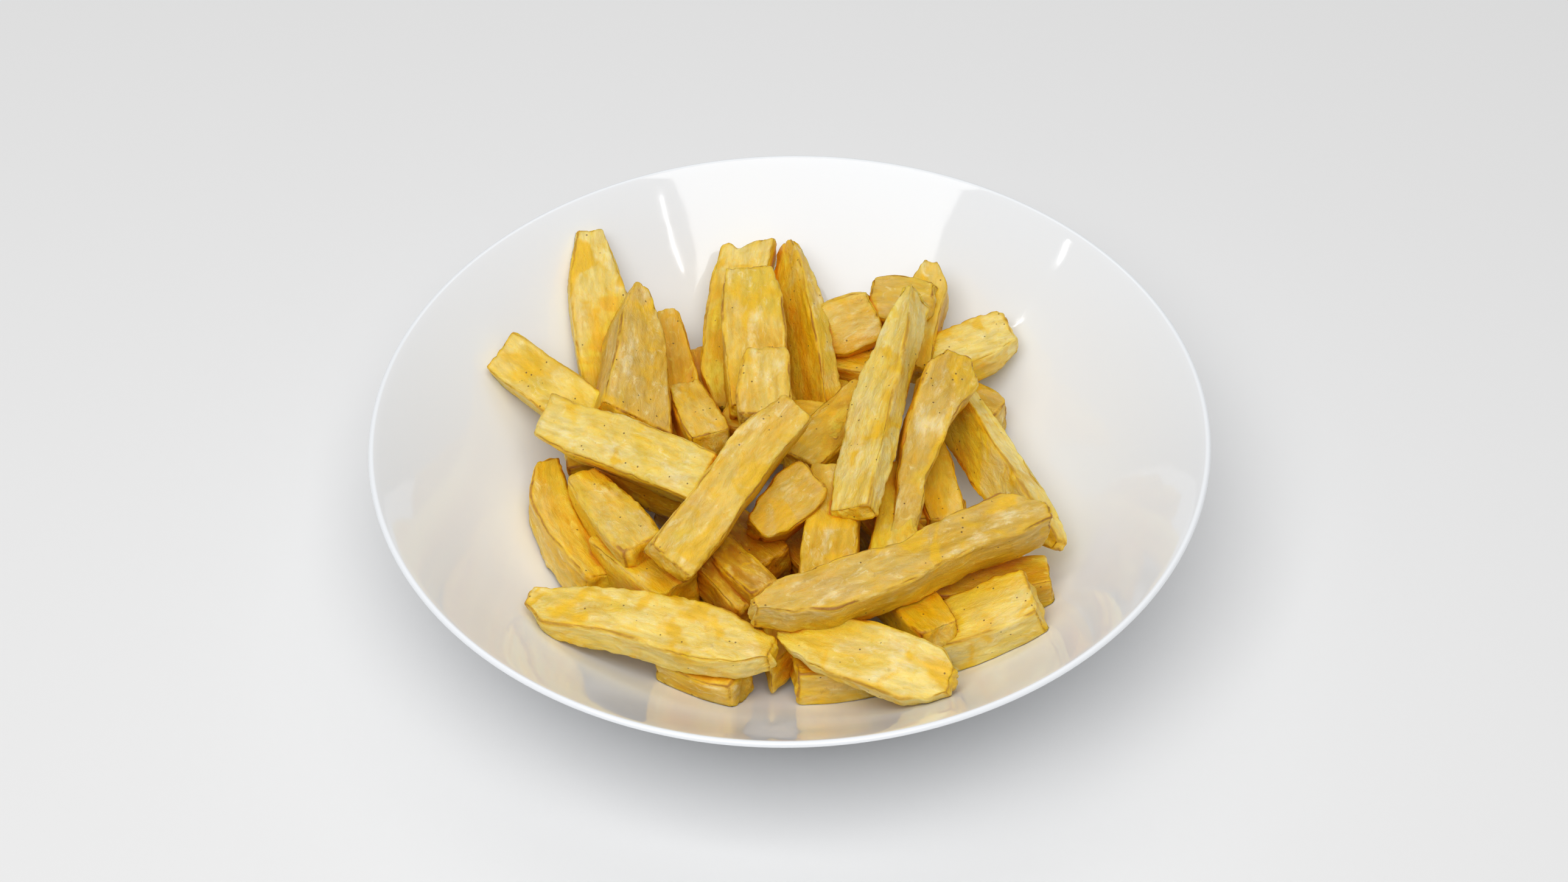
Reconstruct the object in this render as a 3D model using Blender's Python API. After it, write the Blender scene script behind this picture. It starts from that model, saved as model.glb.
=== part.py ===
"""French fries portion: thick hand-cut fries heaped in a deep white coupe plate.

Metres, +Z up. The origin is on the table under the middle of the plate.
Two nodes: the plate, and the heap of fries as one solid out to its uneven outline.
"""
import math

import bmesh
import bpy
from mathutils import Matrix, Vector

MM = 0.001
COLLECTION = "french_fries_portion"

# ---- plate ---------------------------------------------------------------
RIM_R = 100.0          # outer radius
RIM_Z = 42.0           # height of the lip's crown
WALL = 3.0             # wall thickness at the lip
LIP_R = RIM_R - WALL / 2   # middle of the rounded lip
FLOOR_Z = 4.5          # top of the floor
WELL_R = 46.0          # radius where the floor starts to rise
INNER_TOP_R = RIM_R - WALL
INNER_TOP_Z = RIM_Z - WALL / 2
FOOT_IN_R = 37.0       # foot ring
FOOT_OUT_R = 43.0
FOOT_DEEP = 1.2        # recess inside the foot ring
PLATE_STEPS = 72
WALL_STEPS = 9         # rings between well and lip
LIP_STEPS = 3
GAP = 0.3              # clearance between the fries and the plate

# ---- core of the heap ----------------------------------------------------
CORE_MID = (-3.0, -2.0, 8.0)
CORE_SIZE = (45.0, 43.0, 18.0)
CAVITY_TOP_Z = 90.0

# ---- one fry -------------------------------------------------------------
CHAMFER = 0.32         # share of the half width or depth taken off each long edge
STATIONS = (0.06, 0.28, 0.5, 0.72, 0.94)
TIP_SPAN = 0.28        # share of the length over which an end narrows
END_SCALE = 0.85       # the cut ends are a little smaller than the body

# Corner positions of the section, in half widths and half depths.
CORNERS = (
    (1.0, 1.0 - CHAMFER),
    (1.0 - CHAMFER, 1.0),
    (CHAMFER - 1.0, 1.0),
    (-1.0, 1.0 - CHAMFER),
    (-1.0, CHAMFER - 1.0),
    (CHAMFER - 1.0, -1.0),
    (1.0 - CHAMFER, -1.0),
    (1.0, CHAMFER - 1.0),
)

PLAIN = {
    "roll": 0.0,           # turn about its own length, degrees
    "twist": 0.0,          # further turn from end to end, degrees
    "sweep": 0.0,          # sideways bend of the middle
    "cut": (0.0, 0.0),     # slant of the two end cuts
    "tip": (0.85, 0.85),   # width left at the two ends
    "thin": (1.0, 1.0),    # depth left at the two ends
    "right": (1.0, 1.0),   # half width on the right, from start to end
    "left": (1.0, 1.0),    # half width on the left, from start to end
}

# Each fry: name, centre of each end (mm), widths and depths at the ends (mm), options.
FRIES = (
    # lying up the far wall, left to right
    ("far_left_tall", (-51, 76, 37), (-44, 33, 13), (14, 17), (5, 11),
     {"right": (0.78, 0.9, 1.0, 1.05, 1.05), "left": (0.4, 1.05, 1.15, 1.1, 1.0),
      "tip": (1.0, 0.85)}),
    ("far_left_tan", (-39, 54, 31), (-38, 14, 27), (9, 19), (17, 8),
     {"roll": 24.0, "cut": (-0.8, -0.3), "tip": (0.45, 1.0)}),
    ("far_left_thin", (-31, 60, 22), (-27, 33, 13), (7, 13), (9, 11),
     {"tip": (0.8, 0.85)}),
    ("far_left_low", (-25, 53, 14), (-21, 34, 12), (9, 9), (9, 9), {}),
    ("mid_left_short", (-26, 32, 20), (-19, 8, 25), (10, 12), (10, 10), {}),
    ("far_mid_broken", (-10, 77, 30), (-15, 32, 13), (16, 17), (9, 11),
     {"right": (0.85, 1.0, 1.02, 0.97, 0.6), "left": (0.92, 0.82, 0.95, 1.0, 1.0),
      "cut": (0.18, 0.0), "tip": (1.0, 0.85)}),
    ("far_mid_top", (-10, 59, 35), (-7, 18, 26), (15, 14), (12, 12),
     {"right": (0.85, 1.0, 1.04, 1.1, 1.15), "left": (0.8, 1.1, 1.17, 1.17, 1.1),
      "tip": (0.95, 0.9)}),
    ("mid_short", (-5, 27, 38), (-6, 8, 33), (12, 14), (10, 10), {}),
    ("far_mid_pointed", (1, 78, 30), (7, 18, 20), (8, 9), (15, 14),
     {"roll": 35.0, "right": (0.9, 0.75, 0.65, 0.45, 0.4), "left": (0.15, 0.45, 0.8, 1.0, 1.05),
      "tip": (0.5, 1.0), "thin": (0.3, 1.0)}),
    ("far_right_across", (9, 50, 23), (23, 54, 26), (15, 15), (11, 11),
     {"roll": -35.0}),
    ("far_right_behind", (22, 58, 27), (38, 52, 31), (13, 12), (9, 9),
     {"roll": -25.0}),
    ("far_right_tall", (37, 66, 31), (32, 36, 22), (14, 12), (9, 10),
     {"right": (0.3, 0.75, 1.0, 1.0, 1.0), "left": (0.35, 0.8, 0.7, 0.7, 0.7),
      "tip": (0.9, 0.85)}),
    ("right_wall_end", (57, 47, 25), (33, 38, 22), (15, 14), (8, 9),
     {"left": (0.7, 0.95, 1.0, 1.0), "thin": (0.7, 1.0)}),
    ("far_right_low", (10, 46, 16), (28, 40, 17), (10, 10), (10, 10), {}),
    # left side
    ("left_reach", (-71.5, 39, 29.5), (-37, 12, 21), (13, 13), (8, 9),
     {"roll": -25.0, "right": (1.0, 1.0, 1.05, 1.1), "left": (0.95, 1.0, 0.95, 0.85),
      "tip": (0.97, 0.9)}),
    ("left_bar", (-59, 13, 30), (-18, -14, 36), (14, 14), (9, 10),
     {"roll": -32.0, "right": (0.62, 0.88, 0.9, 0.93, 1.05), "left": (1.1, 0.97, 1.0, 1.0, 0.9),
      "tip": (0.97, 0.97)}),
    ("left_crescent", (-60, 9, 17), (-47, -29, 14), (9, 11), (11, 12),
     {"roll": 10.0, "sweep": 2.0, "right": (1.15, 1.2, 1.0, 0.72, 0.6), "tip": (0.6, 0.85)}),
    ("left_middle", (-50, -1, 22), (-34, -30, 26), (11, 13), (11, 12),
     {"tip": (0.7, 0.85)}),
    ("left_lower", (-45, -18, 19), (-26, -39, 21), (10, 15), (11, 12), {}),
    ("left_tiny", (-55, 13, 14), (-40, 16, 16), (9, 9), (9, 9), {}),
    ("left_shaded", (-45, 8, 19), (-23, -8, 24), (11, 11), (10, 10), {}),
    ("mid_strip", (-23, -26, 24), (-10, -44, 22), (10, 9), (9, 9), {}),
    ("mid_pale", (-21, -19, 22), (-6, -44, 27), (9, 9), (9, 9), {}),
    ("mid_shaded", (-20, -9, 18), (-4, -27, 18), (13, 13), (11, 11), {}),
    # front
    ("front_left_long", (-62, -36, 20), (-5, -59, 23), (14, 15), (9, 10),
     {"roll": -8.0, "right": (0.3, 0.95, 0.92, 0.84, 0.84, 0.93, 0.92, 0.75, 0.2),
      "left": (0.4, 0.85, 1.05, 1.08, 0.6), "tip": (1.0, 1.0), "thin": (0.3, 0.6)}),
    ("front_left_low", (-30, -48, 11), (-12, -58, 13), (12, 12), (11, 11), {}),
    ("front_mid_end", (-1, -52, 13), (-3, -30, 14), (11, 11), (11, 11), {"cut": (1.0, 0.0)}),
    ("front_right_flat", (-3, -52, 24.5), (36.5, -68, 25.5), (12, 16), (5, 6),
     {"roll": -25.0, "right": (0.4, 0.75, 1.0, 1.1, 1.17, 1.25, 1.22, 0.93, 0.5),
      "left": (0.5, 0.7, 0.9, 1.0, 1.08, 1.0, 0.9, 0.8, 0.3), "tip": (1.0, 1.0)}),
    ("front_right_low", (0, -55, 13), (28, -51, 12), (13, 13), (11, 11), {}),
    ("front_right_block", (34, -48, 16), (57, -44, 24), (15, 15), (12, 12),
     {}),
    ("front_right_back", (30, -35, 17), (61, -32, 18), (11, 11), (12, 12), {}),
    ("front_right_wedge", (20, -27, 19), (34, -54, 22), (12, 12), (11, 11), {}),
    # right side
    ("right_twisted", (41, 27, 35), (23, -26, 21), (13, 10), (10, 11),
     {"roll": 14.0, "twist": -6.0, "right": (0.6, 1.15, 1.05, 1.1, 1.05, 0.9, 0.5, 0.3, 0.3),
      "left": (0.5, 1.1, 0.78, 0.58, 0.56, 0.5, 0.85, 0.95, 0.9), "tip": (1.0, 1.0)}),
    ("right_pale", (25, 0, 24), (24, -36, 22), (4, 15), (10, 10),
     {"tip": (0.7, 1.0)}),
    ("right_under", (33, 14, 18), (38, -9, 13), (10, 11), (11, 11), {}),
    ("right_tiny", (26, -6, 13), (43, -4, 13), (8, 8), (9, 9), {}),
    ("right_long", (41, 29, 18), (64, -24.5, 22), (12, 10), (14, 12),
     {"roll": 33.0, "right": (0.6, 0.7, 1.0, 1.25, 0.9), "left": (0.4, 0.4, 0.3, 0.2, 0.2),
      "tip": (0.9, 0.6), "thin": (1.0, 0.2)}),
    ("right_lumpy", (40, 35, 16), (53, 25, 16), (11, 11), (10, 10),
     {"tip": (0.85, 0.6)}),
    ("mid_end_left", (-9, -22, 27), (6, -11, 32), (13, 13), (12, 12),
     {"roll": -30.0, "left": (0.6, 0.75, 1.05, 1.2), "tip": (0.5, 0.6)}),
    ("mid_block", (11, -5, 28), (7, -42, 24), (13, 13), (11, 11),
     {"left": (1.0, 1.1, 1.15, 1.15)}),
    # top layer
    ("top_wedge", (32, 45, 41), (13, -23, 33), (13, 16), (10, 5),
     {"roll": -28.0, "right": (0.2, 0.65, 0.97, 0.88, 0.55),
      "left": (0.25, 0.62, 0.75, 0.85, 0.9), "tip": (1.0, 1.0)}),
    ("top_middle", (-29, -38, 33), (2, -2, 47), (13, 13), (10, 11),
     {"roll": -25.0, "right": (1.05, 1.05, 0.85, 0.72, 0.78),
      "left": (0.93, 0.97, 1.05, 1.1, 0.8), "tip": (0.95, 0.9)}),
    ("top_right_bar", (-9, -54, 33), (59, -27, 34), (13, 12), (10, 15),
     {"roll": -16.0, "right": (0.2, 0.8, 1.35, 1.32, 1.2, 0.9, 0.72, 0.72, 0.5),
      "left": (0.3, 0.68, 0.65, 0.62, 0.55, 0.82, 1.0, 1.3, 0.35), "tip": (1.0, 1.0)}),
)


def clear_scene():
    for ob in list(bpy.data.objects):
        bpy.data.objects.remove(ob, do_unlink=True)


def collection(name):
    coll = bpy.data.collections.new(name)
    bpy.context.scene.collection.children.link(coll)
    return coll


def material(name, colour, roughness):
    mat = bpy.data.materials.new(name)
    mat.use_nodes = True
    shader = mat.node_tree.nodes["Principled BSDF"]
    shader.inputs["Base Color"].default_value = (*colour, 1.0)
    shader.inputs["Roughness"].default_value = roughness
    shader.inputs["Metallic"].default_value = 0.0
    return mat


def add_object(name, bm, coll, mat=None):
    """Put a bmesh drawn in millimetres into the scene in metres."""
    bmesh.ops.scale(bm, vec=(MM, MM, MM), verts=bm.verts)
    mesh = bpy.data.meshes.new(name)
    bm.to_mesh(mesh)
    bm.free()
    ob = bpy.data.objects.new(name, mesh)
    coll.objects.link(ob)
    if mat:
        ob.data.materials.append(mat)
    return ob


def wall_z(share):
    """Height of the inner wall, 0 at the well's edge and 1 at the lip."""
    return FLOOR_Z + (INNER_TOP_Z - FLOOR_Z) * share * share * (5.0 - 2.0 * share) / 3.0


def inner_profile(drop=0.0):
    """Points of the inner surface from the lip to the middle, raised by drop."""
    points = []
    for k in range(WALL_STEPS, -1, -1):
        share = k / WALL_STEPS
        r = WELL_R + (INNER_TOP_R - WELL_R) * share
        points.append((r, wall_z(share) + drop))
    points.append((WELL_R * 0.5, FLOOR_Z + drop))
    points.append((0.0, FLOOR_Z + drop))
    return points


def plate_profile():
    """Closed outline from the underside's middle, out, over the lip and back in."""
    points = [(0.0, FOOT_DEEP), (FOOT_IN_R - 1.0, FOOT_DEEP)]
    points += [(FOOT_IN_R, 0.0), (FOOT_OUT_R, 0.0), (FOOT_OUT_R + 1.0, 1.0)]
    for k in range(1, WALL_STEPS + 1):
        share = k / WALL_STEPS
        r = WELL_R + WALL + (RIM_R - WELL_R - WALL) * share
        points.append((r, wall_z(share) - FLOOR_Z + 1.4 + (FLOOR_Z - 1.4) * share ** 4))
    for k in range(1, LIP_STEPS + 1):
        turn = math.pi * k / (LIP_STEPS + 1)
        points.append((LIP_R + WALL / 2 * math.cos(turn),
                       INNER_TOP_Z + WALL / 2 * math.sin(turn)))
    return points + inner_profile()


def lathe(points):
    """Turn a profile, given on +X, about Z and close it."""
    bm = bmesh.new()
    verts = [bm.verts.new((r, 0.0, z)) for r, z in points]
    edges = [bm.edges.new(pair) for pair in zip(verts[:-1], verts[1:])]
    bmesh.ops.spin(bm, geom=verts + edges, cent=(0, 0, 0), axis=(0, 0, 1),
                   angle=2 * math.pi, steps=PLATE_STEPS, use_merge=True)
    bmesh.ops.remove_doubles(bm, verts=bm.verts, dist=0.001)
    bmesh.ops.recalc_face_normals(bm, faces=bm.faces)
    return bm


def plate_bmesh():
    return lathe(plate_profile())


def cavity_bmesh():
    """Everything the fries may fill: the room above the plate, less the clearance."""
    inside = inner_profile(GAP * 1.3)
    reach = INNER_TOP_R - 1.0
    top = [(0.0, CAVITY_TOP_Z), (reach, CAVITY_TOP_Z), (reach, INNER_TOP_Z + GAP)]
    return lathe(top + inside[1:])


def fry_frame(start, end, roll):
    """Length, side and top directions of a fry."""
    along = (end - start).normalized()
    side = along.cross(Vector((0, 0, 1))).normalized()
    turn = Matrix.Rotation(math.radians(-roll), 3, along)
    return along, turn @ side, turn @ side.cross(along)


def tip_scale(t, tips):
    """Share of the width or depth left near each end."""
    if t < TIP_SPAN:
        return tips[0] + (1.0 - tips[0]) * (t / TIP_SPAN) ** 0.7
    if t > 1.0 - TIP_SPAN:
        return tips[1] + (1.0 - tips[1]) * ((1.0 - t) / TIP_SPAN) ** 0.7
    return 1.0


def along_side(values, t):
    """Value between stations spread evenly from end to end."""
    place = min(max(t, 0.0), 1.0) * (len(values) - 1)
    k = min(int(place), len(values) - 2)
    f = place - k
    f = f * f * (3.0 - 2.0 * f)
    return values[k] + (values[k + 1] - values[k]) * f


def fry_bmesh(start, end, widths, depths, options):
    """One chamfered bar, narrowed, rolled, twisted and bowed between its two ends."""
    form = {**PLAIN, **options}
    start = Vector(start)
    end = Vector(end)
    bm = bmesh.new()
    bmesh.ops.create_cone(bm, cap_ends=True, segments=len(CORNERS),
                          radius1=1.0, radius2=1.0, depth=1.0)
    for t in STATIONS:
        geom = list(bm.verts) + list(bm.edges) + list(bm.faces)
        bmesh.ops.bisect_plane(bm, geom=geom, plane_co=(0, 0, t - 0.5), plane_no=(0, 0, 1))
    flat_side = fry_frame(start, end, 0.0)[1]
    step = 2 * math.pi / len(CORNERS)
    first = min(math.atan2(v.co.y, v.co.x) % step for v in bm.verts)
    for v in bm.verts:
        t = v.co.z + 0.5
        k = round((math.atan2(v.co.y, v.co.x) - first) / step) % len(CORNERS)
        x, y = CORNERS[k]
        roll = form["roll"] + form["twist"] * (2 * t - 1)
        along, side, top = fry_frame(start, end, roll)
        half_w = (widths[0] + (widths[1] - widths[0]) * t) / 2
        half_w *= along_side(form["right"] if x > 0 else form["left"], t)
        half_d = (depths[0] + (depths[1] - depths[0]) * t) / 2 * tip_scale(t, form["thin"])
        slant = form["cut"][0] * (1 - 2 * t) if t < 0.5 else form["cut"][1] * (2 * t - 1)
        slant *= x * half_w
        narrow = tip_scale(t, form["tip"])
        close = END_SCALE if t < 0.01 or t > 0.99 else 1.0
        middle = start.lerp(end, t) + flat_side * form["sweep"] * 4 * t * (1 - t)
        across = side * x * half_w * (narrow * close if narrow > 0.8 else narrow)
        v.co = middle + across + top * y * half_d * close + along * slant
    bmesh.ops.recalc_face_normals(bm, faces=bm.faces)
    return bm


def core_bmesh():
    """The packed middle of the heap, below the fries that show."""
    bm = bmesh.new()
    bmesh.ops.create_uvsphere(bm, u_segments=24, v_segments=12, radius=1.0)
    bmesh.ops.scale(bm, vec=CORE_SIZE, verts=bm.verts)
    bmesh.ops.translate(bm, vec=CORE_MID, verts=bm.verts)
    return bm


def boolean(ob, operation, target=None, group=None):
    mod = ob.modifiers.new(operation.lower(), "BOOLEAN")
    mod.solver = "EXACT"
    mod.operation = operation
    if group:
        mod.operand_type = "COLLECTION"
        mod.collection = group
    else:
        mod.object = target


def make_plate(coll):
    mat = material("plate_glaze", (0.88, 0.89, 0.90), 0.12)
    return add_object("plate", plate_bmesh(), coll, mat)


def make_heap(coll, hidden, group):
    mat = material("fried_potato", (0.80, 0.60, 0.21), 0.55)
    heap = add_object("fries_heap", core_bmesh(), coll, mat)
    for name, start, end, widths, depths, options in FRIES:
        bar = add_object("bar_" + name, fry_bmesh(start, end, widths, depths, options), group)
        bar.hide_render = True
        bar.display_type = "WIRE"
    cavity = add_object("cavity", cavity_bmesh(), hidden)
    cavity.hide_render = True
    cavity.display_type = "WIRE"
    boolean(heap, "UNION", group=group)
    boolean(heap, "INTERSECT", target=cavity)
    return heap


clear_scene()
parts = collection(COLLECTION)
cutters = collection("cutters")
bars = collection("bars")
make_plate(parts)
make_heap(parts, cutters, bars)
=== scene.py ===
import math

import bmesh
import bpy
from mathutils import Matrix, Vector, noise
from mathutils.bvhtree import BVHTree


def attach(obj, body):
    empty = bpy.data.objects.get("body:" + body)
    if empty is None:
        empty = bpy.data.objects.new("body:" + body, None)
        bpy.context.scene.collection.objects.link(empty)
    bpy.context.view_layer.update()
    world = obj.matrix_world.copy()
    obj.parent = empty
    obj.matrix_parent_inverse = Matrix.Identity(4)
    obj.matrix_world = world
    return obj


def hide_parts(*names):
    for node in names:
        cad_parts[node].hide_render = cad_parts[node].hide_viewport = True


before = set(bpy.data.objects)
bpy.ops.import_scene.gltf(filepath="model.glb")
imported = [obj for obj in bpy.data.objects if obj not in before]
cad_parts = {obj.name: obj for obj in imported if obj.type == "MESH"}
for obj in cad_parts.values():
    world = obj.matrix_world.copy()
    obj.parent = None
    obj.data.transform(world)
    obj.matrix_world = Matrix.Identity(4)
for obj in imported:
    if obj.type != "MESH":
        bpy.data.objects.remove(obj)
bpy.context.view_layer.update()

MM = 0.001

# ---- plate, in millimetres -----------------------------------------------
RIM_R = 100.0
RIM_Z = 42.0
WALL = 3.0
LIP = 1.7              # the wall thins to this at the lip
LIP_R = RIM_R - LIP / 2
FLOOR_Z = 4.5
WELL_R = 46.0
LIP_Z = RIM_Z - LIP / 2
LIP_JOIN = math.radians(133.0)    # where the round lip runs into the wall
INNER_TOP_R = LIP_R + LIP / 2 * math.cos(LIP_JOIN)
INNER_TOP_Z = LIP_Z + LIP / 2 * math.sin(LIP_JOIN)
FOOT_IN_R = 37.0
FOOT_OUT_R = 43.0
FOOT_DEEP = 1.2
PLATE_STEPS = 240
WALL_STEPS = 40
LIP_STEPS = 9

# ---- fries, in millimetres -----------------------------------------------
GRAIN_STEP = 0.72      # spacing of the skin's mesh
HEAP_REACH = 16.0      # how far other fries still add painted shade to a spot
CORNER = 1.1           # rounding of the cut edges
TIP_SPAN = 0.28
REST = 0.2             # the fries stay this far off the glaze

PLAIN = {
    "roll": 0.0,              # turn about its own length, degrees
    "twist": 0.0,             # further turn from end to end, degrees
    "sweep": 0.0,             # sideways bend of the middle
    "cut": (0.0, 0.0),        # slant of the two end cuts
    "tip": (0.85, 0.85),      # width left at the two ends
    "thin": (1.0, 1.0),       # depth left at the two ends
    "right": (1.0, 1.0),      # half width on the right, from start to end
    "left": (1.0, 1.0),       # half width on the left, from start to end
    "nick": (0.0, 0.0, 1.0),  # place, depth and width of a break in the start
    "fibre": 1.0,             # depth of the creases
    "skin": "golden",
}

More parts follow.
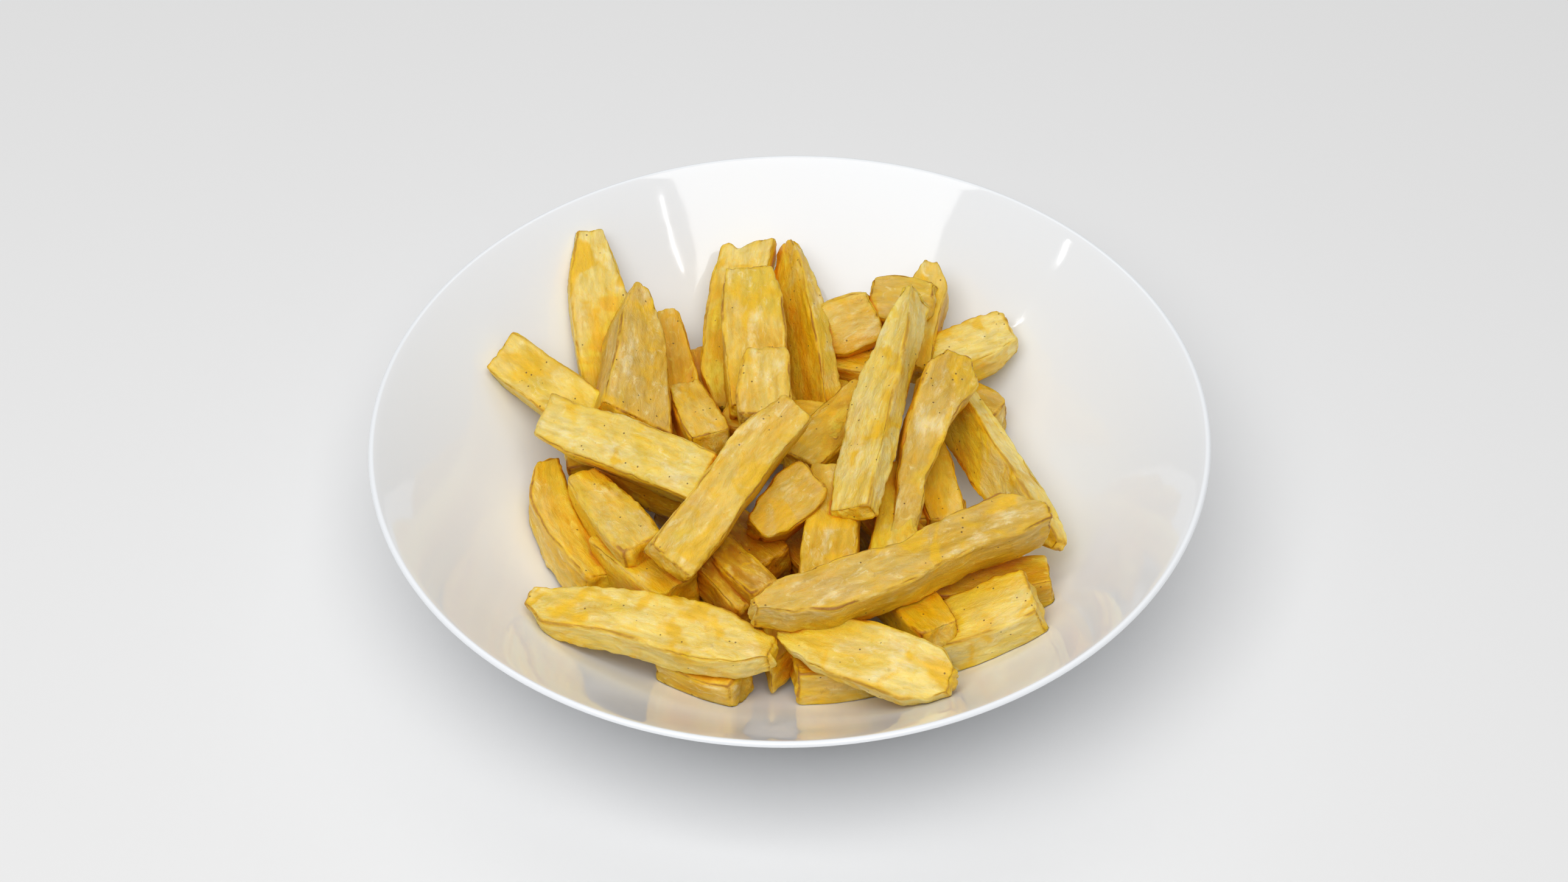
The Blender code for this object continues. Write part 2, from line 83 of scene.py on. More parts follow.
FRIES = (
    # lying up the far wall, left to right
    ("far_left_tall", (-49, 76, 38), (-44, 33, 13), (14, 17), (5, 11),
     {"right": (0.9, 1.05, 1.1, 1.05, 1.05), "left": (0.5, 0.75, 1.1, 1.1, 1.0),
      "tip": (0.68, 0.85), "skin": "pale"}),
    ("far_left_tan", (-39, 54, 31), (-38, 14, 27), (9, 19), (17, 8),
     {"roll": 24.0, "cut": (-0.8, -0.3), "tip": (0.45, 1.0), "skin": "tan"}),
    ("far_left_thin", (-31, 60, 22), (-27, 33, 13), (7, 13), (9, 11),
     {"tip": (0.8, 0.85)}),
    ("far_left_low", (-25, 53, 14), (-21, 34, 12), (9, 9), (9, 9), {"skin": "tan"}),
    ("mid_left_short", (-26, 32, 20), (-19, 8, 25), (10, 12), (10, 10), {}),
    ("far_mid_broken", (-10, 77, 30), (-15, 32, 13), (16, 17), (9, 11),
     {"right": (0.85, 1.0, 1.02, 0.97, 0.6), "left": (0.92, 0.82, 0.95, 1.0, 1.0),
      "cut": (0.18, 0.0), "tip": (1.0, 0.85), "nick": (2.0, 1.8, 1.8), "skin": "pale"}),
    ("far_mid_top", (-10, 59, 35), (-7, 18, 26), (15, 14), (12, 12),
     {"right": (0.85, 1.0, 1.04, 1.1, 1.15), "left": (0.8, 1.1, 1.17, 1.17, 1.1),
      "tip": (0.95, 0.9)}),
    ("mid_short", (-5, 27, 38), (-6, 8, 33), (12, 14), (10, 10), {}),
    ("far_mid_pointed", (1, 78, 30), (7, 18, 20), (8, 9), (15, 14),
     {"roll": 35.0, "right": (0.9, 0.75, 0.65, 0.45, 0.4), "left": (0.15, 0.45, 0.8, 1.0, 1.05),
      "tip": (0.5, 1.0), "thin": (0.3, 1.0)}),
    ("far_right_across", (9, 50, 23), (23, 54, 26), (15, 15), (11, 11),
     {"roll": -35.0}),
    ("far_right_behind", (22, 58, 27), (38, 52, 31), (13, 12), (9, 9),
     {"roll": -25.0, "skin": "tan"}),
    ("far_right_tall", (37, 66, 31), (32, 36, 22), (14, 12), (9, 10),
     {"right": (0.3, 0.75, 1.0, 1.0, 1.0), "left": (0.35, 0.8, 0.7, 0.7, 0.7),
      "tip": (0.9, 0.85)}),
    ("right_wall_end", (57, 47, 25), (33, 38, 22), (15, 14), (8, 9),
     {"left": (0.7, 0.95, 1.0, 1.0), "thin": (0.7, 1.0), "skin": "pale"}),
    ("far_right_low", (10, 46, 16), (28, 40, 17), (10, 10), (10, 10), {"skin": "pale"}),
    # left side
    ("left_reach", (-71.5, 39, 29.5), (-37, 12, 21), (13, 13), (8, 9),
     {"roll": -25.0, "right": (1.0, 1.0, 1.05, 1.1), "left": (0.95, 1.0, 0.95, 0.85),
      "tip": (0.97, 0.9), "skin": "pale"}),
    ("left_bar", (-59, 13, 30), (-18, -14, 36), (14, 14), (9, 10),
     {"roll": -32.0, "right": (0.62, 0.88, 0.9, 0.93, 1.05), "left": (1.1, 0.97, 1.0, 1.0, 0.9),
      "tip": (0.97, 0.97), "skin": "pale"}),
    ("left_crescent", (-60, 9, 17), (-47, -29, 14), (9, 11), (11, 12),
     {"roll": 10.0, "sweep": 2.0, "right": (1.15, 1.2, 1.0, 0.72, 0.6), "tip": (0.6, 0.85)}),
    ("left_middle", (-50, -1, 22), (-34, -30, 26), (11, 13), (11, 12),
     {"tip": (0.7, 0.85)}),
    ("left_lower", (-45, -18, 19), (-26, -39, 21), (10, 15), (11, 12), {}),
    ("left_tiny", (-55, 13, 14), (-40, 16, 16), (9, 9), (9, 9), {}),
    ("left_shaded", (-45, 8, 19), (-23, -8, 24), (11, 11), (10, 10), {"skin": "shade_darkened"}),
    ("mid_strip", (-23, -26, 24), (-10, -44, 22), (10, 9), (9, 9), {"skin": "shade_darkened"}),
    ("mid_pale", (-21, -19, 22), (-6, -44, 27), (9, 9), (9, 9), {"skin": "shade_darkened"}),
    ("mid_shaded", (-20, -9, 18), (-4, -27, 18), (13, 13), (11, 11), {"skin": "shade_darkened"}),
    # front
    ("front_left_long", (-62, -36, 20), (-5, -59, 23), (14, 15), (9, 10),
     {"roll": -8.0, "right": (0.3, 0.95, 0.92, 0.84, 0.84, 0.93, 0.92, 0.75, 0.2),
      "left": (0.4, 0.85, 1.05, 1.08, 0.6), "tip": (1.0, 1.0), "thin": (0.3, 0.6),
      "skin": "pale"}),
    ("front_left_low", (-30, -48, 11), (-12, -58, 13), (12, 12), (11, 11), {"skin": "gold"}),
    ("front_mid_end", (-1, -52, 13), (-3, -30, 14), (11, 11), (11, 11), {"cut": (1.0, 0.0)}),
    ("front_right_flat", (-3, -52, 24.5), (36.5, -68, 25.5), (12, 16), (5, 6),
     {"roll": -25.0, "right": (0.4, 0.75, 1.0, 1.1, 1.17, 1.25, 1.22, 0.93, 0.5),
      "left": (0.5, 0.7, 0.9, 1.0, 1.08, 1.0, 0.9, 0.8, 0.3), "tip": (1.0, 1.0),
      "skin": "pale"}),
    ("front_right_low", (0, -55, 13), (28, -51, 12), (13, 13), (11, 11), {"skin": "golden"}),
    ("front_right_block", (34, -48, 16), (57, -44, 24), (15, 15), (12, 12),
     {"skin": "pale"}),
    ("front_right_back", (30, -35, 17), (61, -32, 18), (11, 11), (12, 12), {"skin": "gold"}),
    ("front_right_wedge", (20, -27, 19), (34, -54, 22), (12, 12), (11, 11), {}),
    # right side
    ("right_twisted", (41, 27, 35), (23, -26, 21), (13, 10), (10, 11),
     {"roll": 14.0, "twist": -6.0, "right": (0.6, 1.15, 1.05, 1.1, 1.05, 0.9, 0.5, 0.3, 0.3),
      "left": (0.5, 1.1, 0.78, 0.58, 0.56, 0.5, 0.85, 0.95, 0.9), "tip": (1.0, 1.0),
      "skin": "tan"}),
    ("right_pale", (25, 0, 24), (24, -36, 22), (4, 15), (10, 10),
     {"tip": (0.7, 1.0), "skin": "pale"}),
    ("right_under", (33, 14, 18), (38, -9, 13), (10, 11), (11, 11), {}),
    ("right_tiny", (26, -6, 13), (43, -4, 13), (8, 8), (9, 9), {}),
    ("right_long", (41, 29, 18), (64, -24.5, 22), (12, 10), (14, 12),
     {"roll": 33.0, "right": (0.6, 0.7, 1.0, 1.25, 0.9), "left": (0.4, 0.4, 0.3, 0.2, 0.2),
      "tip": (0.9, 0.6), "thin": (1.0, 0.2), "skin": "pale"}),
    ("right_lumpy", (40, 35, 16), (53, 25, 16), (11, 11), (10, 10),
     {"tip": (0.85, 0.6), "skin": "tan"}),
    ("mid_end_left", (-9, -22, 27), (6, -11, 32), (13, 13), (12, 12),
     {"roll": -30.0, "left": (0.6, 0.75, 1.05, 1.2), "tip": (0.5, 0.6), "skin": "gold"}),
    ("mid_block", (11, -5, 28), (7, -42, 24), (13, 13), (11, 11),
     {"left": (1.0, 1.1, 1.15, 1.15), "skin": "gold"}),
    # top layer
    ("top_wedge", (32, 45, 41), (13, -23, 33), (13, 16), (10, 5),
     {"roll": -28.0, "right": (0.2, 0.65, 0.97, 0.88, 0.55),
      "left": (0.25, 0.62, 0.75, 0.85, 0.9), "tip": (1.0, 1.0), "skin": "pale"}),
    ("top_middle", (-29, -38, 33), (2, -2, 47), (13, 13), (10, 11),
     {"roll": -25.0, "right": (1.05, 1.05, 0.85, 0.72, 0.78),
      "left": (0.93, 0.97, 1.05, 1.1, 0.8), "tip": (0.95, 0.9)}),
    ("top_right_bar", (-9, -54, 33), (59, -27, 34), (13, 12), (10, 15),
     {"roll": -16.0, "right": (0.2, 0.8, 1.35, 1.32, 1.2, 0.9, 0.72, 0.72, 0.5),
      "left": (0.3, 0.68, 0.65, 0.62, 0.55, 0.82, 1.0, 1.3, 0.35), "tip": (1.0, 1.0),
      "skin": "tan"}),
    # packed under the others
    ("packed_left", (-40, 24, 14), (-12, 2, 16), (13, 13), (12, 12), {"skin": "gold"}),
    ("packed_mid", (-16, 22, 20), (14, 12, 22), (13, 13), (12, 12), {"skin": "gold"}),
    ("packed_far", (-8, 40, 13), (24, 26, 14), (13, 13), (12, 12), {"skin": "gold"}),
    ("packed_right", (8, 16, 14), (30, -22, 13), (13, 13), (12, 12), {"skin": "shade_darkened"}),
    ("packed_front", (-30, -20, 12), (6, -42, 13), (13, 13), (12, 12), {"skin": "shade_darkened"}),
    ("packed_low", (-6, -6, 12), (18, -34, 14), (13, 13), (12, 12), {"skin": "shade_darkened"}),
    ("packed_cross", (-30, 4, 13), (-2, -24, 12), (13, 13), (12, 12), {"skin": "shade_darkened"}),
    ("packed_end", (2, 2, 22), (20, 26, 23), (13, 13), (12, 12), {"skin": "gold"}),
)


# ---- plate ---------------------------------------------------------------
def wall_z(share):
    return FLOOR_Z + (INNER_TOP_Z - FLOOR_Z) * share * share * (5.0 - 2.0 * share) / 3.0


def glaze_z(r):
    """Height of the plate's inner surface at a distance from the middle."""
    share = min(max((r - WELL_R) / (INNER_TOP_R - WELL_R), 0.0), 1.0)
    return wall_z(share)


def plate_profile():
    points = [(0.0, FOOT_DEEP), (FOOT_IN_R - 1.4, FOOT_DEEP), (FOOT_IN_R - 0.9, FOOT_DEEP - 0.1)]
    points += [(FOOT_IN_R - 0.3, 0.2), (FOOT_IN_R, 0.0), (FOOT_OUT_R, 0.0)]
    points += [(FOOT_OUT_R + 0.4, 0.15), (FOOT_OUT_R + 0.9, 0.8), (FOOT_OUT_R + 1.6, 1.1)]
    for k in range(1, WALL_STEPS + 1):
        share = k / WALL_STEPS
        r = WELL_R + WALL + (RIM_R - WELL_R - WALL) * share
        under = (FLOOR_Z - 1.4) * (1.0 - share ** 4) + (INNER_TOP_Z - LIP_Z) * share ** 4
        points.append((r, wall_z(share) - under))
    for k in range(1, LIP_STEPS + 1):
        turn = LIP_JOIN * k / (LIP_STEPS + 1)
        points.append((LIP_R + LIP / 2 * math.cos(turn), LIP_Z + LIP / 2 * math.sin(turn)))
    for k in range(WALL_STEPS, -1, -1):
        share = k / WALL_STEPS
        points.append((WELL_R + (INNER_TOP_R - WELL_R) * share, wall_z(share)))
    return points + [(WELL_R * 0.6, FLOOR_Z), (WELL_R * 0.25, FLOOR_Z), (0.0, FLOOR_Z)]


def piece_from(bm, name, mat, node):
    """Turn a bmesh drawn in millimetres into a finished piece of the part."""
    bmesh.ops.scale(bm, vec=(MM, MM, MM), verts=bm.verts)
    mesh = bpy.data.meshes.new(name)
    bm.to_mesh(mesh)
    bm.free()
    mesh.polygons.foreach_set("use_smooth", [True] * len(mesh.polygons))
    mesh.materials.append(mat)
    piece = bpy.data.objects.new(name, mesh)
    bpy.context.scene.collection.objects.link(piece)
    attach(piece, "root")
    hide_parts(node)
    return piece


def make_plate(mat):
    bm = bmesh.new()
    verts = [bm.verts.new((r, 0.0, z)) for r, z in plate_profile()]
    edges = [bm.edges.new(pair) for pair in zip(verts[:-1], verts[1:])]
    bmesh.ops.spin(bm, geom=verts + edges, cent=(0, 0, 0), axis=(0, 0, 1),
                   angle=2 * math.pi, steps=PLATE_STEPS, use_merge=True)
    bmesh.ops.remove_doubles(bm, verts=bm.verts, dist=0.001)
    bmesh.ops.recalc_face_normals(bm, faces=bm.faces)
    return piece_from(bm, "glazed_plate", mat, "plate")


# ---- one fry -------------------------------------------------------------
def fry_frame(start, end, roll):
    along = (end - start).normalized()
    side = along.cross(Vector((0, 0, 1))).normalized()
    turn = Matrix.Rotation(math.radians(-roll), 3, along)
    return along, turn @ side, turn @ side.cross(along)


def tip_scale(t, tips):
    if t < TIP_SPAN:
        return tips[0] + (1.0 - tips[0]) * (t / TIP_SPAN) ** 0.7
    if t > 1.0 - TIP_SPAN:
        return tips[1] + (1.0 - tips[1]) * ((1.0 - t) / TIP_SPAN) ** 0.7
    return 1.0


def along_side(values, t):
    """Value between stations spread evenly from end to end."""
    place = min(max(t, 0.0), 1.0) * (len(values) - 1)
    k = min(int(place), len(values) - 2)
    f = place - k
    f = f * f * (3.0 - 2.0 * f)
    return values[k] + (values[k + 1] - values[k]) * f


def ease(a, power):
    """Crowd the rows of the mesh towards the cut edges."""
    return math.copysign(1.0 - (1.0 - abs(a)) ** power, a)


def block(counts):
    """A unit cube cut into rows and columns along its three sides."""
    bm = bmesh.new()
    bmesh.ops.create_cube(bm, size=1.0)
    for axis in (2, 0, 1):
        edges = []
        for e in bm.edges:
            run = e.verts[0].co - e.verts[1].co
            if abs(run[axis]) > 0.5 * run.length:
                edges.append(e)
        bmesh.ops.subdivide_edges(bm, edges=edges, cuts=counts[axis] - 1)
    return bm


def rounded(p, half, radius):
    """Move a point of a box's surface onto the same box with rounded edges."""
    inner = Vector([min(max(p[i], radius - half[i]), half[i] - radius) for i in range(3)])
    out = p - inner
    if out.length < 1e-6:
        return p
    return inner + out.normalized() * radius


def wrinkle(local, seed, fibre):
    """Height of the fried skin in millimetres, and how deep in a crease the spot lies."""
    fold = Vector((local.x / 5.0, local.y / 5.0, local.z / 21.0)) + seed
    height = 0.42 * noise.noise(fold)
    strand = Vector((local.x / 1.8, local.y / 1.8, local.z / 14.0)) + seed * 1.7
    fade = min(max(0.55 + 1.1 * noise.noise(local / 8.0 - seed), 0.0), 1.0)
    crease = fibre * fade * max(0.0, 1.0 - abs(noise.noise(strand)) / 0.20)
    pit = Vector((local.x / 1.5, local.y / 1.5, local.z / 2.6)) - seed
    return height - 0.32 * crease + 0.07 * noise.noise(pit), crease


def shape_fry(row, number, step):
    """The bar of one fry, and where each of its points lies along and across it."""
    start, end, widths, depths, options = row[1:]
    form = {**PLAIN, **options}
    start = Vector(start)
    end = Vector(end)
    length = (end - start).length
    seed = fry_seed(number)
    bm = block([max(4, round(max(widths) / step)), max(4, round(max(depths) / step)),
                round(length / step)])
    flat_side = fry_frame(start, end, 0.0)[1]
    grain = bm.verts.layers.float_vector.new("grain")
    edge = bm.verts.layers.float.new("edge")
    bm.verts.layers.float.new("crease")
    bm.verts.layers.float.new("deep")
    local_of = {}
    for v in bm.verts:
        u = ease(v.co.x * 2, 1.35)
        w = ease(v.co.y * 2, 1.35)
        t = 0.5 + 0.5 * ease(v.co.z * 2, 1.06)
        breathe = 1.0 + 0.06 * noise.noise(Vector((t * length / 12.0, 0.3, 0.0)) + seed)
        half_w = (widths[0] + (widths[1] - widths[0]) * t) / 2 * tip_scale(t, form["tip"]) * breathe
        half_d = (depths[0] + (depths[1] - depths[0]) * t) / 2 * tip_scale(t, form["thin"])
        half = Vector((half_w, half_d, length / 2))
        box = Vector((u * half_w, w * half_d, (t - 0.5) * length))
        radius = CORNER * (1.0 + 0.6 * noise.noise(Vector((t * length / 9.0, u, w)) + seed))
        spot = rounded(box, half, min(radius, 0.45 * half_w, 0.45 * half_d))
        gaps = sorted(half[i] - abs(box[i]) for i in range(3))
        v[edge] = math.exp(-(gaps[1] / 1.1) ** 2)
        flat = 1.0 - v[edge]
        sink = 0.30 + 0.55 * noise.noise(Vector((t * length / 16.0, 7.0, 0.0)) + seed)
        if abs(w) > 0.98:
            spot.y -= math.copysign(sink * flat * (1 - u * u), w)
        elif abs(u) > 0.98:
            spot.x -= math.copysign(sink * 0.7 * flat * (1 - w * w), u)
        else:
            spot.z += flat * 1.3 * noise.noise(Vector((spot.x / 4.0, spot.y / 4.0, t)) + seed)
        spot.x *= along_side(form["right"] if u > 0 else form["left"], t)
        place, deep, wide = form["nick"]
        spot.z += deep * math.exp(-((spot.x - place) / wide) ** 2) * max(0.0, 1.0 - 7.0 * t)
        local_of[v] = spot
        v[grain] = (spot + seed * 40.0) * MM
        s = spot.z / length + 0.5
        roll = form["roll"] + form["twist"] * (2 * s - 1)
        roll += 7.0 * noise.noise(Vector((s * length / 25.0, 3.0, 0.0)) + seed)
        along, side, top = fry_frame(start, end, roll)
        slant = form["cut"][0] * (1 - 2 * s) if s < 0.5 else form["cut"][1] * (2 * s - 1)
        middle = start.lerp(end, s) + flat_side * form["sweep"] * 4 * s * (1 - s)
        middle += top * 0.8 * noise.noise(Vector((s * length / 20.0, 1.0, 2.0)) + seed)
        middle += side * 0.8 * noise.noise(Vector((s * length / 20.0, 8.0, 4.0)) + seed)
        v.co = middle + side * spot.x + top * spot.y + along * slant * spot.x
    bmesh.ops.recalc_face_normals(bm, faces=bm.faces)
    if bm.calc_volume(signed=True) < 0.0:
        bmesh.ops.reverse_faces(bm, faces=bm.faces)
    bm.normal_update()
    return bm, local_of


def fry_seed(number):
    return Vector((number * 3.71, number * 1.37 + 5.2, number * 2.13 + 9.4))


def neighbours(rows):
    """A rough copy of the whole heap, to find what lies close to a spot for the painted shade."""
    points = []
    polygons = []
    for number, row in enumerate(rows):
        bm = shape_fry(row, number, 3.0)[0]
        bm.verts.index_update()
        first = len(points)
        points += [v.co.copy() for v in bm.verts]
        polygons += [[first + v.index for v in f.verts] for f in bm.faces]
        bm.free()
    return BVHTree.FromPolygons(points, polygons)


def closeness(spot, normal, heap):
    """How much of the view out of a spot is filled by fries nearby, 0 to 1, which sets how much shade is
    painted on the spot.
    """
    side = normal.orthogonal().normalized()
    other = normal.cross(side)
    origin = spot + normal * 1.2
    total = 0.0
    for k in range(7):
        turn = 2.0 * math.pi * k / 6.0
        lean = 0.0 if k == 6 else (0.7 if k % 2 else 1.15)
        ray = normal * math.cos(lean) + (side * math.cos(turn) + other * math.sin(turn)) * math.sin(lean)
        far = heap.ray_cast(origin, ray, HEAP_REACH)[3]
        if far is not None:
            total += 1.0 - 0.6 * far / HEAP_REACH
    return total / 7.0


def make_fry(row, number, heap, skins):
    form = {**PLAIN, **row[5]}
    seed = fry_seed(number)
    bm, local_of = shape_fry(row, number, GRAIN_STEP)
    edge = bm.verts.layers.float["edge"]
    crease = bm.verts.layers.float["crease"]
    deep = bm.verts.layers.float["deep"]
    moves = {}
    for v in bm.verts:
        height, v[crease] = wrinkle(local_of[v], seed, form["fibre"])
        tear = local_of[v] / 1.9 + seed * 2.3
        height -= 0.45 * v[edge] * max(0.0, noise.noise(tear) + 0.1)
        moves[v] = v.normal * height * (1.0 + 0.8 * v[edge])
        # painted shade: how closed in the spot is by other fries
        v[deep] = closeness(v.co, v.normal, heap)
    for v, move in moves.items():
        v.co += move
        r = math.hypot(v.co.x, v.co.y)
        v.co.z = max(v.co.z, glaze_z(r) + REST)
    return piece_from(bm, row[0], skins[form["skin"]], "fries_heap")


# ---- shader helpers ------------------------------------------------------
def group_tree(name, ins, outs):
    tree = bpy.data.node_groups.new(name, "ShaderNodeTree")
    for label, kind, value in ins:
        sock = tree.interface.new_socket(label, in_out="INPUT", socket_type=kind)
        sock.default_value = value
    for label, kind in outs:
        tree.interface.new_socket(label, in_out="OUTPUT", socket_type=kind)
    return tree, tree.nodes.new("NodeGroupInput"), tree.nodes.new("NodeGroupOutput")


def noise_at(tree, vector, scale, detail=3.0, rough=0.55, distortion=0.0):
    node = tree.nodes.new("ShaderNodeTexNoise")
    node.inputs["Scale"].default_value = scale
    node.inputs["Detail"].default_value = detail
    node.inputs["Roughness"].default_value = rough
    node.inputs["Distortion"].default_value = distortion
    tree.links.new(vector, node.inputs["Vector"])
    return node.outputs["Fac"]


def stretched(tree, vector, scale):
    node = tree.nodes.new("ShaderNodeMapping")
    node.inputs["Scale"].default_value = scale
    tree.links.new(vector, node.inputs["Vector"])
    return node.outputs["Vector"]


def band(tree, value, low, high, to_low=0.0, to_high=1.0):
    node = tree.nodes.new("ShaderNodeMapRange")
    node.interpolation_type = "SMOOTHSTEP"
    for label, number in (("From Min", low), ("From Max", high),
                          ("To Min", to_low), ("To Max", to_high)):
        node.inputs[label].default_value = number
    tree.links.new(value, node.inputs["Value"])
    return node.outputs["Result"]


def maths(tree, operation, a, b=None):
    node = tree.nodes.new("ShaderNodeMath")
    node.operation = operation
    for sock, value in zip(node.inputs, (a, b)):
        if value is None:
            continue
        if isinstance(value, (int, float)):
            sock.default_value = value
        else:
            tree.links.new(value, sock)
    return node.outputs[0]


def blend_colour(tree, share, a, b, mode="MIX"):
    node = tree.nodes.new("ShaderNodeMix")
    node.data_type = "RGBA"
    node.blend_type = mode
    for sock, value in ((node.inputs[0], share), (node.inputs[6], a), (node.inputs[7], b)):
        if isinstance(value, (tuple, float, int)):
            sock.default_value = value if not isinstance(value, tuple) else (*value[:3], 1.0)
        else:
            tree.links.new(value, sock)
    return node.outputs[2]


def fried_skin_group():
    """Colour, roughness and height of a fried potato's skin; the colour also holds painted shade in the
    gaps and creases, and painted light and shade along the fibres.
    """
    colour = "NodeSocketColor"
    number = "NodeSocketFloat"
    tree, gin, gout = group_tree(
        "fried_skin",
        [("Grain", "NodeSocketVector", (0, 0, 0)), ("Edge", number, 0.0), ("Crease", number, 0.0),
         ("Painted_gap_shade", number, 0.0),
         ("Flesh", colour, (0.80, 0.62, 0.26, 1)), ("Gold", colour, (0.78, 0.53, 0.10, 1)),
         ("Toast", colour, (0.55, 0.30, 0.07, 1)), ("Goldness", number, 0.5),
         ("Toasting", number, 0.4)],
        [("Color", colour), ("Roughness", number), ("Height", number)])
    grain = gin.outputs["Grain"]
    long_way = stretched(tree, grain, (1.0, 1.0, 0.45))
    fibres = stretched(tree, grain, (1.0, 1.0, 0.28))
    cloud = noise_at(tree, long_way, 95.0, 5.0, 0.62, 0.6)
    streak = noise_at(tree, fibres, 520.0, 3.0, 0.6)
    fine = noise_at(tree, grain, 1200.0, 4.0, 0.7)
    gold_share = maths(tree, "MULTIPLY", band(tree, cloud, 0.43, 0.64), gin.outputs["Goldness"])
    gold_share = maths(tree, "ADD", gold_share, band(tree, streak, 0.48, 0.78, 0.0, 0.35))
    # painted shade: the creases lean towards the darker gold
    gold_share = maths(tree, "ADD", gold_share,
                       maths(tree, "MULTIPLY", gin.outputs["Crease"], 0.55))
    base = blend_colour(tree, gold_share, gin.outputs["Flesh"], gin.outputs["Gold"])
    blush = band(tree, noise_at(tree, long_way, 120.0, 4.0, 0.6), 0.52, 0.68, 0.0, 0.4)
    base = blend_colour(tree, blush, base, (0.80, 0.53, 0.19))
    lemon = band(tree, noise_at(tree, long_way, 74.0, 3.0, 0.55, 0.8), 0.55, 0.70, 0.0, 0.7)
    base = blend_colour(tree, lemon, base, (0.80, 0.55, 0.03))
    pale = band(tree, noise_at(tree, long_way, 200.0, 4.0, 0.6), 0.54, 0.70, 0.0, 0.6)
    base = blend_colour(tree, pale, base, (0.95, 0.82, 0.46))
    thread = noise_at(tree, stretched(tree, grain, (1.0, 1.0, 0.5)), 480.0, 5.0, 0.7, 1.0)
    # painted shade and highlight along the fibres: the low threads darker gold, the high ones cream
    base = blend_colour(tree, band(tree, thread, 0.52, 0.36, 0.0, 0.7), base,
                        (1.0, 0.90, 0.42), "MULTIPLY")
    base = blend_colour(tree, band(tree, thread, 0.54, 0.70, 0.0, 0.5), base, (0.98, 0.86, 0.46))
    stain = band(tree, noise_at(tree, grain, 88.0, 2.5, 0.55, 0.9), 0.53, 0.66, 0.0, 0.85)
    base = blend_colour(tree, stain, base, (0.86, 0.51, 0.005))
    patch = noise_at(tree, long_way, 170.0, 4.0, 0.65, 0.3)
    glow = maths(tree, "MULTIPLY", band(tree, gin.outputs["Edge"], 0.12, 0.80),
                 band(tree, patch, 0.36, 0.56, 0.15, 0.85))
    base = blend_colour(tree, glow, base, (0.83, 0.50, 0.01))
    line = band(tree, gin.outputs["Edge"], 0.60, 0.98)
    rim = maths(tree, "MULTIPLY", line, band(tree, patch, 0.42, 0.58, 0.0, 1.1))
    spot = band(tree, noise_at(tree, grain, 230.0, 5.0, 0.75), 0.60, 0.76, 0.0, 0.6)
    toast = maths(tree, "MULTIPLY", maths(tree, "ADD", rim, spot), gin.outputs["Toasting"])
    base = blend_colour(tree, toast, base, gin.outputs["Toast"])
    # painted shade: spots closed in by other fries turn deeper gold, and orange-brown deep in the gaps
    painted_shade_close = band(tree, gin.outputs["Painted_gap_shade"], 0.03, 0.34, 0.0, 0.95)
    base = blend_colour(tree, painted_shade_close, base, (1.0, 0.90, 0.10), "MULTIPLY")
    painted_shade_deep = band(tree, gin.outputs["Painted_gap_shade"], 0.36, 0.90, 0.0, 0.95)
    base = blend_colour(tree, painted_shade_deep, base, (0.96, 0.60, 0.15), "MULTIPLY")
    # painted light and shade: lighter on the raised streaks, darker on the low ones
    light = band(tree, streak, 0.30, 0.70, 0.88, 1.10)
    tone = tree.nodes.new("ShaderNodeCombineColor")
    for sock in tone.inputs[:3]:
        tree.links.new(light, sock)
    base = blend_colour(tree, 1.0, base, tone.outputs[0], "MULTIPLY")
    cells = tree.nodes.new("ShaderNodeTexVoronoi")
    cells.inputs["Scale"].default_value = 430.0
    tree.links.new(grain, cells.inputs["Vector"])
    pick = tree.nodes.new("ShaderNodeSeparateColor")
    tree.links.new(cells.outputs["Color"], pick.inputs[0])
    crowd = band(tree, noise_at(tree, grain, 60.0, 2.0, 0.5), 0.40, 0.62, 0.85, 0.35)
    dot = maths(tree, "MULTIPLY", band(tree, cells.outputs["Distance"], 0.13, 0.07),
                maths(tree, "GREATER_THAN", pick.outputs[0], crowd))
    base = blend_colour(tree, maths(tree, "MULTIPLY", dot, 0.8), base, (0.12, 0.05, 0.01))
    tree.links.new(base, gout.inputs["Color"])
    rough = band(tree, fine, 0.35, 0.7, 0.52, 0.30)
    tree.links.new(rough, gout.inputs["Roughness"])
    height = maths(tree, "ADD", maths(tree, "MULTIPLY", streak, 1.0),
                   maths(tree, "MULTIPLY", fine, 0.3))
    height = maths(tree, "ADD", height, maths(tree, "MULTIPLY", thread, 1.6))
    tree.links.new(height, gout.inputs["Height"])
    return tree


def attribute(tree, name, output):
    node = tree.nodes.new("ShaderNodeAttribute")
    node.attribute_name = name
    return node.outputs[output]


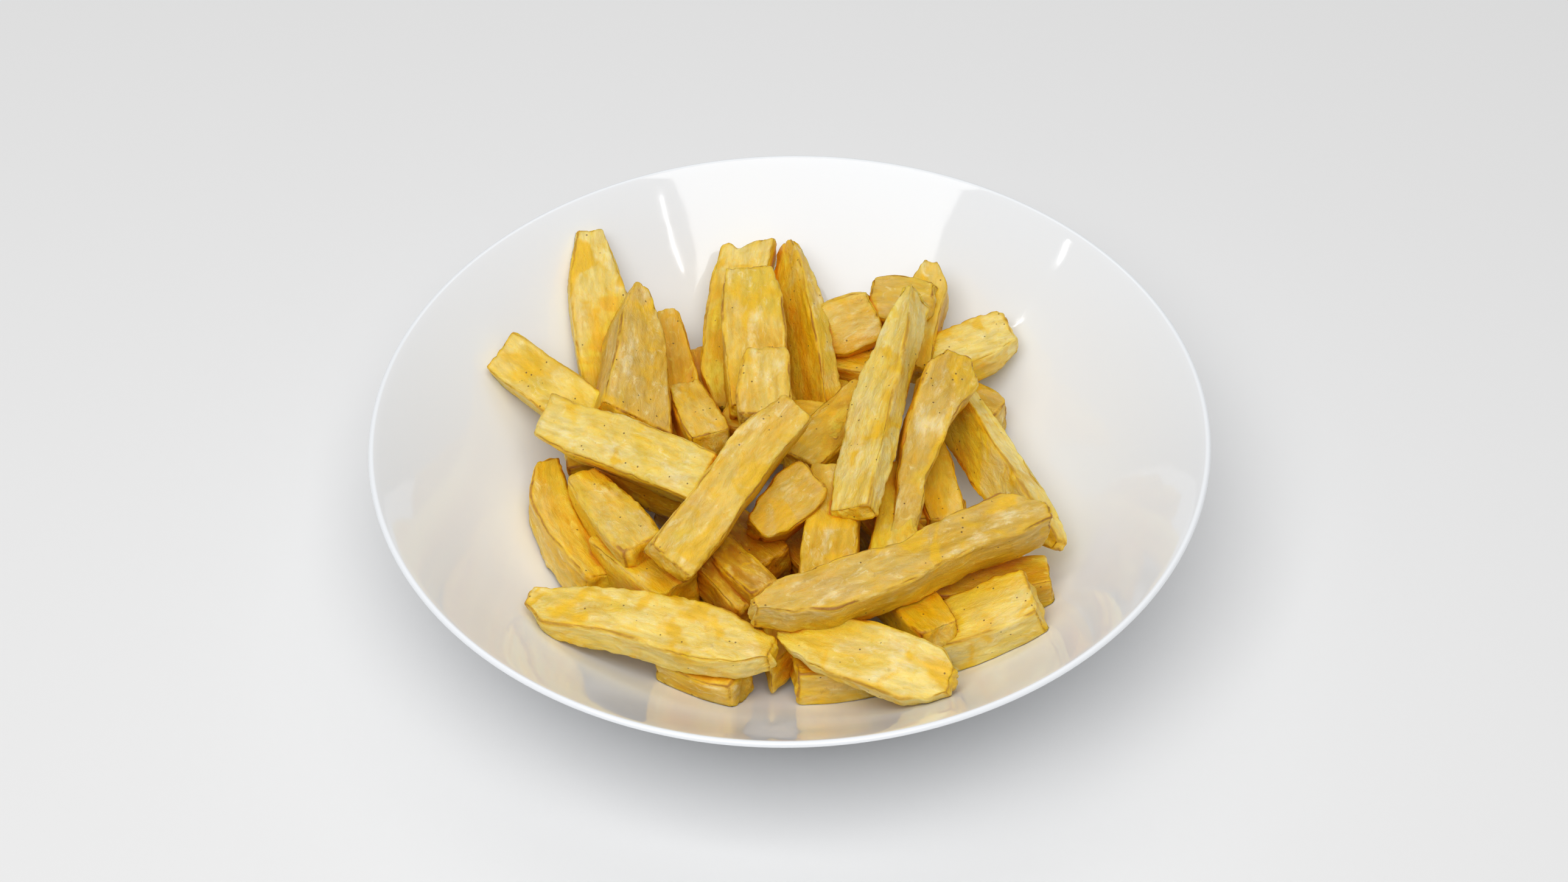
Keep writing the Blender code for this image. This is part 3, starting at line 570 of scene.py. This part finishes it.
def fried_material(name, skin, flesh, gold, toast, goldness, toasting):
    mat = bpy.data.materials.new(name)
    mat.use_nodes = True
    tree = mat.node_tree
    shader = tree.nodes["Principled BSDF"]
    use = tree.nodes.new("ShaderNodeGroup")
    use.node_tree = skin
    tree.links.new(attribute(tree, "grain", "Vector"), use.inputs["Grain"])
    tree.links.new(attribute(tree, "edge", "Fac"), use.inputs["Edge"])
    tree.links.new(attribute(tree, "crease", "Fac"), use.inputs["Crease"])
    tree.links.new(attribute(tree, "deep", "Fac"), use.inputs["Painted_gap_shade"])
    for label, value in (("Flesh", flesh), ("Gold", gold), ("Toast", toast)):
        use.inputs[label].default_value = (*value, 1.0)
    use.inputs["Goldness"].default_value = goldness
    use.inputs["Toasting"].default_value = toasting
    tree.links.new(use.outputs["Color"], shader.inputs["Base Color"])
    tree.links.new(use.outputs["Roughness"], shader.inputs["Roughness"])
    bump = tree.nodes.new("ShaderNodeBump")
    bump.inputs["Strength"].default_value = 0.75
    bump.inputs["Distance"].default_value = 0.0004
    tree.links.new(use.outputs["Height"], bump.inputs["Height"])
    tree.links.new(bump.outputs["Normal"], shader.inputs["Normal"])
    shader.inputs["Subsurface Weight"].default_value = 0.35
    shader.inputs["Subsurface Radius"].default_value = (1.0, 0.55, 0.15)
    shader.inputs["Subsurface Scale"].default_value = 0.003
    shader.inputs["IOR"].default_value = 1.42
    shader.inputs["Specular IOR Level"].default_value = 0.5
    return mat


def glaze_material():
    """White glaze: clear gloss with the faintest unevenness."""
    mat = bpy.data.materials.new("white_glaze")
    mat.use_nodes = True
    tree = mat.node_tree
    shader = tree.nodes["Principled BSDF"]
    place = tree.nodes.new("ShaderNodeTexCoord").outputs["Object"]
    cloud = noise_at(tree, place, 14.0, 2.0, 0.5)
    tint = blend_colour(tree, cloud, (0.90, 0.925, 0.955), (0.915, 0.935, 0.96))
    tree.links.new(tint, shader.inputs["Base Color"])
    sheen = band(tree, noise_at(tree, place, 260.0, 4.0, 0.7), 0.30, 0.75, 0.04, 0.08)
    tree.links.new(sheen, shader.inputs["Roughness"])
    bump = tree.nodes.new("ShaderNodeBump")
    bump.inputs["Strength"].default_value = 0.10
    bump.inputs["Distance"].default_value = 0.0006
    tree.links.new(noise_at(tree, place, 55.0, 2.0, 0.5), bump.inputs["Height"])
    tree.links.new(bump.outputs["Normal"], shader.inputs["Normal"])
    shader.inputs["IOR"].default_value = 1.52
    return mat


# ---- room ----------------------------------------------------------------
def plain_material(name, colour, roughness):
    mat = bpy.data.materials.new(name)
    mat.use_nodes = True
    shader = mat.node_tree.nodes["Principled BSDF"]
    shader.inputs["Base Color"].default_value = (*colour, 1.0)
    shader.inputs["Roughness"].default_value = roughness
    shader.inputs["Specular IOR Level"].default_value = 0.1
    return mat


def make_floor():
    bm = bmesh.new()
    bmesh.ops.create_grid(bm, x_segments=1, y_segments=1, size=3.0)
    mesh = bpy.data.meshes.new("floor")
    bm.to_mesh(mesh)
    bm.free()
    mesh.materials.append(plain_material("pale_floor", (0.84, 0.84, 0.84), 0.9))
    floor = bpy.data.objects.new("floor", mesh)
    bpy.context.scene.collection.objects.link(floor)


def softbox(name, place, aim, size, power, colour=(1.0, 1.0, 1.0)):
    light = bpy.data.lights.new(name, "AREA")
    light.shape = "RECTANGLE"
    light.size, light.size_y = size
    light.energy = power
    light.color = colour
    ob = bpy.data.objects.new(name, light)
    ob.location = place
    ob.rotation_euler = (Vector(aim) - Vector(place)).to_track_quat("-Z", "Y").to_euler()
    bpy.context.scene.collection.objects.link(ob)
    return ob


def make_light():
    world = bpy.data.worlds.new("soft_room")
    world.use_nodes = True
    bpy.context.scene.world = world
    back = world.node_tree.nodes["Background"]
    back.inputs["Color"].default_value = (1.0, 1.0, 1.0, 1.0)
    back.inputs["Strength"].default_value = 0.32
    softbox("top_softbox", (-0.15, -0.60, 1.20), (-0.08, -0.18, 0.0), (1.38, 0.95), 13.0)
    softbox("back_fill", (0.0, 0.60, 1.25), (0.0, 0.0, 0.0), (1.3, 0.6), 2.9)
    softbox("left_strip", (-1.246, -0.03, 1.011), (0.0, 0.0, 0.02), (0.02, 0.048), 0.07)
    softbox("right_strip", (0.637, -0.731, 1.20), (0.0, 0.0, 0.02), (0.014, 0.063), 0.055)


def make_camera():
    """Looks down at the portion from the front, a little turned and tipped."""
    lens = bpy.data.cameras.new("camera")
    lens.sensor_width = 36.0
    lens.lens = 70.0
    ob = bpy.data.objects.new("camera", lens)
    heading = Matrix.Rotation(math.radians(0.139), 4, "Z")
    tilt = Matrix.Rotation(math.radians(90.0 - 44.558), 4, "X")
    tip = Matrix.Rotation(math.radians(-1.174), 4, "Z")
    ob.matrix_world = Matrix.Translation((0.0, -0.5207, 0.5480)) @ heading @ tilt @ tip
    bpy.context.scene.collection.objects.link(ob)
    bpy.context.scene.camera = ob


make_camera()
make_floor()
make_light()
bpy.context.scene.view_settings.view_transform = "Standard"

make_plate(glaze_material())

skin_tree = fried_skin_group()
SKINS = {
    "pale": fried_material("pale_fried", skin_tree, (0.90, 0.71, 0.23), (0.84, 0.57, 0.06),
                           (0.42, 0.19, 0.02), 0.6, 0.6),
    "golden": fried_material("golden_fried", skin_tree, (0.86, 0.61, 0.13), (0.77, 0.44, 0.02),
                             (0.40, 0.16, 0.02), 0.75, 0.75),
    "tan": fried_material("tan_fried", skin_tree, (0.74, 0.50, 0.11), (0.67, 0.39, 0.02),
                          (0.38, 0.16, 0.02), 0.7, 0.85),
    "gold": fried_material("gold_fried", skin_tree, (0.76, 0.50, 0.05), (0.68, 0.38, 0.01),
                           (0.38, 0.15, 0.01), 0.8, 0.8),
    # painted shade: a darker copy of the fried skin for fries that lie in shade
    "shade_darkened": fried_material("shade_darkened_fried", skin_tree, (0.62, 0.34, 0.03), (0.52, 0.24, 0.01),
                            (0.34, 0.12, 0.01), 0.8, 0.8),
}
heap_around = neighbours(FRIES)
for number, row in enumerate(FRIES):
    make_fry(row, number, heap_around, SKINS)

bpy.context.view_layer.update()
